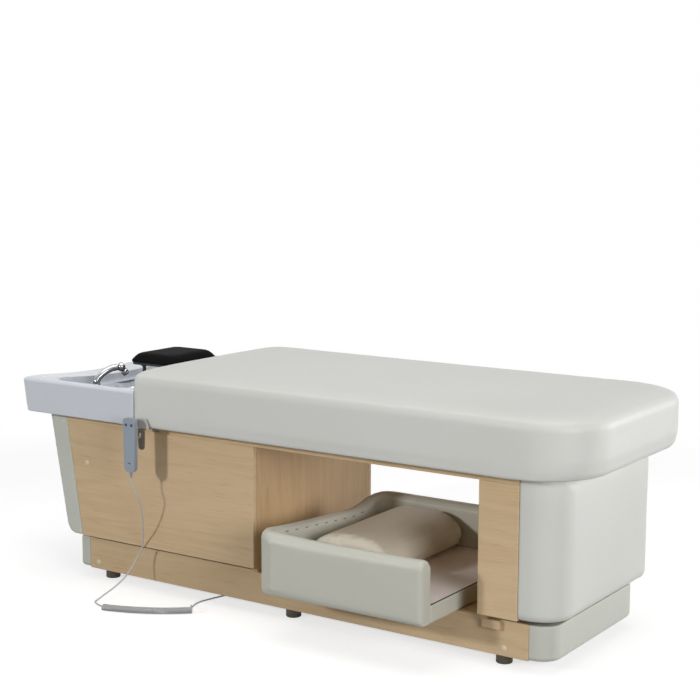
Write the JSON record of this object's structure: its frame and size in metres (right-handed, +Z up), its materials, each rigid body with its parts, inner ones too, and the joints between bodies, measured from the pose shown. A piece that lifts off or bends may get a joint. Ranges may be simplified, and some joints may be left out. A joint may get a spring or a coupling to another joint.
{
  "type": "massage table",
  "caption": "Long padded massage bed on a closed wooden base, with a wash basin and neck pad at the head, a swivel tap, a pull-out padded tray and a wired handset.",
  "frame": {"origin": "middle of the footprint on the floor, the handset's cord left out", "axes": "+X along the bed towards the foot end, -Y towards the front where the tray pulls out, +Z up"},
  "size_m": [2.099, 0.9549, 0.7608],
  "materials": {
    "upholstery": "smooth off-white synthetic leather over foam",
    "bolster_cover": "beige synthetic leather over foam",
    "pad_cover": "soft black polyurethane",
    "pad_frame": "black painted steel",
    "oak": "light oak veneer, satin",
    "basin_white": "cool white, glossy",
    "chrome": "polished chrome",
    "pipe_grey": "grey pipe plastic",
    "hose": "grey flexible hose",
    "handset_grey": "bluish grey, fine texture",
    "button_dark": "dark grey, soft",
    "circuit": "green board",
    "bracket_steel": "dark painted steel",
    "dark_plastic": "black",
    "foot_rubber": "dark grey",
    "cord_grey": "grey, satin",
    "liner": "mauve-grey, smooth"
  },
  "bodies": {
    "bed": {"mattress": "upholstery", "head_end_panel": "upholstery", "foot_end_block": "upholstery", "plinth_head_end": "upholstery", "plinth_foot_end": "upholstery", "base_deck": "oak", "base_frame": "oak", "plinth_front_board": "oak", "plinth_back_board": "oak", "cabinet_front_panel": "oak", "cabinet_back_panel": "oak", "cabinet_partition": "oak", "foot_partition": "oak", "foot_post_front": "oak", "foot_post_back": "oak", "top_board": "oak", "cabinet_cleat": "oak", "post_cleat": "oak", "basin": "basin_white", "basin_waste": "chrome", "spout_base": "chrome", "mixer_body": "chrome", "water_inlet_block": "chrome", "waste_nut": "pipe_grey", "waste_trap": "pipe_grey", "control_box": "pipe_grey", "hot_hose": "hose", "cold_hose": "hose", "spout_hose": "hose", "handset_bracket": "bracket_steel", "cord_gland": "dark_plastic", "mains_inlet": "dark_plastic", "handset_cord_upper": "cord_grey", "handset_cord_curls": "cord_grey", "handset_cord_lower": "cord_grey"},
    "tray": {"tray_wall": "upholstery", "tray_base": "upholstery", "tray_floor_liner": "liner", "tray_glide_sheet": "dark_plastic"},
    "bolster": {"bolster": "bolster_cover"},
    "neck_pad": {"neck_pad": "pad_cover", "neck_pad_frame": "pad_frame"},
    "spout": {"spout": "chrome"},
    "nozzle": {"spray_nozzle": "chrome"},
    "mixer": {"mixer_cartridge": "chrome"},
    "lever": {"mixer_lever": "chrome"},
    "handset": {"handset_front_cover": "handset_grey", "handset_back_cover": "handset_grey", "handset_circuit_board": "circuit", "handset_hook": "handset_grey", "handset_strain_relief": "handset_grey"},
    "button_left": {"handset_button_left": "button_dark"},
    "button_right": {"handset_button_right": "button_dark"},
    "foot_head_front": {"levelling_foot_head_front": "foot_rubber"},
    "foot_head_back": {"levelling_foot_head_back": "foot_rubber"},
    "foot_middle_front": {"levelling_foot_middle_front": "foot_rubber"},
    "foot_middle_back": {"levelling_foot_middle_back": "foot_rubber"},
    "foot_foot_front": {"levelling_foot_foot_front": "foot_rubber"},
    "foot_foot_back": {"levelling_foot_foot_back": "foot_rubber"}
  },
  "joints": [
    {"name": "tray_slide", "type": "slide", "parent": "bed", "child": "tray", "axis": [0, 1, 0], "range_m": [-0.12, 0.145]},
    {"name": "bolster_lift", "type": "slide", "parent": "tray", "child": "bolster", "axis": [0, 0, 1], "range_m": [0, 0.12]},
    {"name": "neck_pad_lift", "type": "slide", "parent": "bed", "child": "neck_pad", "axis": [0, 0, 1], "range_m": [0, 0.05]},
    {"name": "spout_swivel", "type": "hinge", "parent": "bed", "child": "spout", "pos_m": [-0.8655, -0.1665, 0.66], "axis": [0, 0, 1], "range_deg": [-30, 45]},
    {"name": "nozzle_tilt", "type": "hinge", "parent": "spout", "child": "nozzle", "pos_m": [-0.82591, -0.08534, 0.712], "axis": [0.8988, -0.4384, 0], "range_deg": [-20, 20]},
    {"name": "mixer_swivel", "type": "hinge", "parent": "bed", "child": "mixer", "pos_m": [-0.6365, -0.2375, 0.6603], "axis": [0, 0, 1], "range_deg": [-30, 30]},
    {"name": "lever_lift", "type": "hinge", "parent": "mixer", "child": "lever", "pos_m": [-0.6365, -0.2375, 0.6703], "axis": [0.9962, 0.0872, 0], "range_deg": [0, 20]},
    {"name": "handset_lift", "type": "slide", "parent": "bed", "child": "handset", "axis": [0, 0, 1], "range_m": [0, 0.009]},
    {"name": "button_left_press", "type": "slide", "parent": "handset", "child": "button_left", "axis": [0, 1, 0], "range_m": [0, 0.0012], "stiffness_N_per_m": 800},
    {"name": "button_right_press", "type": "slide", "parent": "handset", "child": "button_right", "axis": [0, 1, 0], "range_m": [0, 0.0012], "stiffness_N_per_m": 800},
    {"name": "foot_head_front_turn", "type": "hinge", "parent": "bed", "child": "foot_head_front", "pos_m": [-0.7795, -0.1925, 0], "axis": [0, 0, 1], "continuous": true},
    {"name": "foot_head_back_turn", "type": "hinge", "parent": "bed", "child": "foot_head_back", "pos_m": [-0.7795, 0.2935, 0], "axis": [0, 0, 1], "continuous": true},
    {"name": "foot_middle_front_turn", "type": "hinge", "parent": "bed", "child": "foot_middle_front", "pos_m": [-0.0135, -0.1925, 0], "axis": [0, 0, 1], "continuous": true},
    {"name": "foot_middle_back_turn", "type": "hinge", "parent": "bed", "child": "foot_middle_back", "pos_m": [-0.0135, 0.2935, 0], "axis": [0, 0, 1], "continuous": true},
    {"name": "foot_foot_front_turn", "type": "hinge", "parent": "bed", "child": "foot_foot_front", "pos_m": [0.7375, -0.1925, 0], "axis": [0, 0, 1], "continuous": true},
    {"name": "foot_foot_back_turn", "type": "hinge", "parent": "bed", "child": "foot_foot_back", "pos_m": [0.7375, 0.2935, 0], "axis": [0, 0, 1], "continuous": true}
  ]
}
